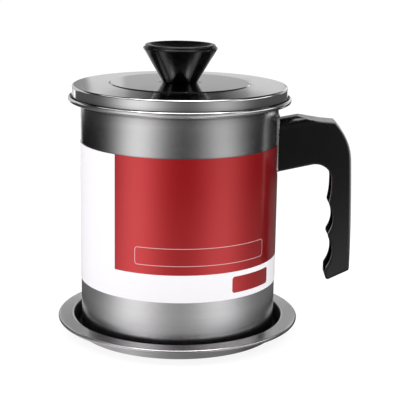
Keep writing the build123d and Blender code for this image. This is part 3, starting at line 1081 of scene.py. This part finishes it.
def block(outs, across, ups):
    """Eight corners of a block given by its out, across and up ranges, and its six faces."""
    points = [(grip_x + out, y, tongue_z + up) for out in outs for y in across for up in ups]
    faces = [[0, 1, 3, 2], [4, 6, 7, 5], [0, 4, 5, 1], [2, 3, 7, 6], [0, 2, 6, 4], [1, 5, 7, 3]]
    return np.array(points), faces


def boss_shape(half, sides=72):
    """Rings round the screw's axis: the block's top and bottom outline, the counterbore and its seat,
    and the screw's hole. The outline's point at an angle is the nearer of its two sides that way."""
    angle = np.linspace(0, 2 * math.pi, sides, endpoint=False)
    cosine, sine = np.cos(angle), np.sin(angle)
    far = 1 / np.maximum(np.abs(cosine) / boss_half, np.abs(sine) / half)

    def ring(radius, up=None):
        """A ring at one height, or else on the slope of the arm's underside."""
        out = screw_out + radius * cosine
        under = root_bottom[1] + underside_slope * (out - root_bottom[0])
        return points_from(grip_x + out, radius * sine, tongue_z + (under if up is None else up))

    rings = [ring(far, 0.0), ring(far), ring(counterbore), ring(counterbore, boss_seat)]
    rings += [ring(shank_hole, boss_seat), ring(shank_hole, 0.0)]
    return np.concatenate(rings), grid_faces(len(rings), sides, wrap_rows=True, wrap_columns=True)


# ---- Build ----

drip_tray()
pot()
paper_band()
strainer()
woven_net()
net_ring()
lid()
knob()
knob_cap()
saddle_bracket()
grip = handle()
handle_ribs()
for name in ("handle_screw", "handle_washer", "handle_nut", "knob_screw", "knob_washer"):
    node = frame["nodes"][name]
    node.data.materials.clear()
    node.data.materials.append(zinc)


# ---- Stage ----

floor_half = 6.0
floor_z = -0.0002
floor_glow = 0.88
floor_grey = 0.16
world_light = 0.92
screen_z = -0.0001
screen_radius = 0.5
screen_height = 0.75
screen_fillets = (0.02, 0.2)


def floor():
    """Pale matt floor. Where it is seen, most of its brightness is its own, so that it is white and the
    object's shadow stays faint."""
    finish = Finish("studio_floor")
    finish.set(Base_Color=(0.9, 0.9, 0.9, 1), Roughness=1.0, Specular_IOR_Level=0.0)
    matt = finish.node("BsdfDiffuse", inputs={"Color": grey(floor_grey)})
    shown = finish.node("AddShader", inputs=[finish.glow(floor_glow), matt])
    surface = Signal(finish, finish.surface.outputs[0])
    finish.show(finish.node("MixShader", inputs=[finish.seen_directly(), surface, shown]))
    corners = [(-1, -1), (1, -1), (1, 1), (-1, 1)]
    points = [(x * floor_half, y * floor_half, floor_z) for x, y in corners]
    added("floor", points, [[0, 1, 2, 3]], finish.material)


def world():
    """White where it is seen, and a soft even light on everything."""
    made = bpy.data.worlds.new("studio")
    made.use_nodes = True
    shading = Shading(made.node_tree)
    background = made.node_tree.nodes["Background"]
    shading.feed(background.inputs["Color"], (1, 1, 1, 1))
    shading.feed(background.inputs["Strength"], blend(world_light, 1.0, shading.seen_directly()))
    scene.world = made


def blend(low, high, share):
    return low + (high - low) * share


def between(signal, low, high, softness):
    """1 from the low edge to the high one, and 0 past them."""
    return signal.above(low, softness) * (1 - signal.above(high, softness))


def lobes(turn, *peaks):
    """A sum of bells over the turn. Each is (centre, width, height): the height times e to the power
    of minus the squared distance from the centre in widths."""
    total = 0
    for centre, width, height in peaks:
        share = (turn - centre) / width
        total = total + (0 - share * share).math("EXPONENT") * height
    return total


# The reflector's cards: level, turns and their softness in degrees, heights and their softness. The
# low ones are mirrored at the ends of the pot's wall and of the lid's skirt, the high ones by the
# curved edges of the lid.
low_cards = (
    (1.35, (-200, -152), 10, (0.0, 0.11), 0.02),
    (1.3, (157, 200), 6, (0.066, 0.11), 0.01),
    (1.45, (-146, -137), 3, (0.066, 0.11), 0.01),
)
high_cards = (
    (0.9, (-152, -112), 8, (0.27, 0.4), 0.04),
    (0.3, (125, 148), 8, (0.27, 0.4), 0.04),
    (2.6, (58, 110), 12, (0.27, 0.38), 0.02),
)


def with_cards(level, cards, turn, z):
    for bright, turns, edge, heights, rim in cards:
        level = blend(level, bright, between(turn, *turns, edge) * between(z, *heights, rim))
    return level


def low_light(turn, way, z):
    """The bowl's floor and low wall: a bright lobe on either side of a dark front. The pot's lower wall
    mirrors what is near, its upper wall what is far, and the lid's skirt what is above that. The floor
    is darker behind the pot and in a ring beside the tray."""
    near = 0.26 + lobes(turn, (0, 25, 0.09), (-41, 27, 0.98), (41, 25, 0.84))
    ring = blend(0.7, 0.1, turn.above(16, 56)) * blend(1, 0.65, (0 - turn).above(30, 12))
    near = near * (1 - abs(turn).above(110, 50) * 0.5) * blend(ring, 1, way.above(0.108, 0.03))
    base = blend(0.1, 0.0, way.above(0.475, 0.05))
    far = base + lobes(turn, (-46, 25, 1.16), (51, 23, 0.72))
    skirt = 0.11 + lobes(turn, (-40, 27, 1.02), (43, 23, 0.5))
    return blend(near, blend(far, skirt, z.above(0.068, 0.01)), way.above(0.3, 0.3))


def light_behind(x, z):
    """What the lid's top mirrors: pale low down, then a grey card for its disc, and a nearly black one
    for the ring in front of the disc. A grey card stands on either side, and a white one at the right."""
    side = abs(x)
    level = blend(0.74, 0.49, z.above(0.204, 0.012) * (1 - side.above(0.066, 0.006)))
    level = blend(level, 0.04, z.above(0.252, 0.012) * (1 - side.above(0.066, 0.06)))
    level = blend(level, 0.34, between(side, 0.105, 0.16, 0.006))
    level = blend(level, 1.35, x.above(0.139, 0.006) * (1 - x.above(0.2, 0.03)) * z.above(0.185, 0.02))
    return blend(level, 0.1, z.above(0.32, 0.06))


def light_above(x, y, z, turn, way):
    """A dark top with a white strip overhead for the tray's hem, a pale patch at the left, and a patch
    on either side that draws the streaks on the knob."""
    strip = between(y, -0.16, 0.1, 0.04) * between(x, -0.3, 0.3, 0.06) * z.above(0.7, 0.02)
    left = between(y, 0.08, 0.34, 0.06) * (1 - x.above(-0.32, 0.06))
    streaks = between(abs(turn), 68, 90, 8) * between(way, 1.07, 1.22, 0.03)
    return 0.02 + strip * 8.0 + left * 1.2 + streaks * 1.9


def screen():
    """A round reflector bowl with a top, that only gloss sees. Turns are in degrees from the front,
    towards the handle; the way is the radius on the floor and goes on up the wall."""
    finish = Finish("reflector")
    x, y, z = finish.x, finish.y, finish.z
    turn = x.math("ARCTAN2", 0 - y) * (180 / math.pi)
    way = (x * x + y * y).math("SQRT") + z
    level = with_cards(low_light(turn, way, z), low_cards, turn, z)
    level = blend(level, light_behind(x, z), y.above(0.3, 0.05) * z.above(0.13, 0.03))
    level = with_cards(level, high_cards, turn, z)
    level = blend(level, 0.03, z.above(0.42, 0.03))
    level = blend(level, light_above(x, y, z, turn, way), z.above(0.6, 0.04))
    finish.show(finish.glow(level))
    finish.material.cycles.emission_sampling = "NONE"
    edge = screen_radius
    corners = [(0, screen_z), (edge, screen_z), (edge, screen_height), (0, screen_height)]
    shape = turned(rounded(corners, screen_fillets), around=128, closed=False)
    bowl = added("reflector", *shape, finish.material)
    for rays in ("camera", "diffuse", "shadow", "transmission"):
        setattr(bowl, "visible_" + rays, False)


def panel_lamp(name, place, size, watts, aim=(0.0, 0.0, 0.09), only=None):
    """A rectangular lamp, aimed at the pot's middle. It leaves no glint, unless it is for one piece."""
    light = bpy.data.lights.new(name, "AREA")
    light.shape = "RECTANGLE"
    light.size, light.size_y = size
    light.energy = watts
    lamp = bpy.data.objects.new(name, light)
    lamp.location = place
    ahead = np.subtract(aim, place)
    tilt = math.acos(-ahead[2] / np.linalg.norm(ahead))
    lamp.rotation_euler = (tilt, 0, math.atan2(ahead[0], -ahead[1]) + math.pi)
    lamp.visible_camera = False
    scene.collection.objects.link(lamp)
    if only is None:
        lamp.visible_glossy = False
        return
    lit = bpy.data.collections.new("edge_lit")
    lit.objects.link(only)
    lamp.light_linking.receiver_collection = lit


floor()
world()
screen()
panel_lamp("strip_left", (-0.42, -0.22, 0.62), (0.12, 0.45), 1.9)
panel_lamp("strip_right", (0.45, -0.2, 0.6), (0.12, 0.45), 1.6)
panel_lamp("strip_top", (0.0, 0.1, 0.72), (0.5, 0.12), 1.6)
panel_lamp("edge_panel", (0.34, 0.09, 0.13), (0.5, 0.34), 2.2, aim=(0.0, 0.09, 0.13), only=grip)
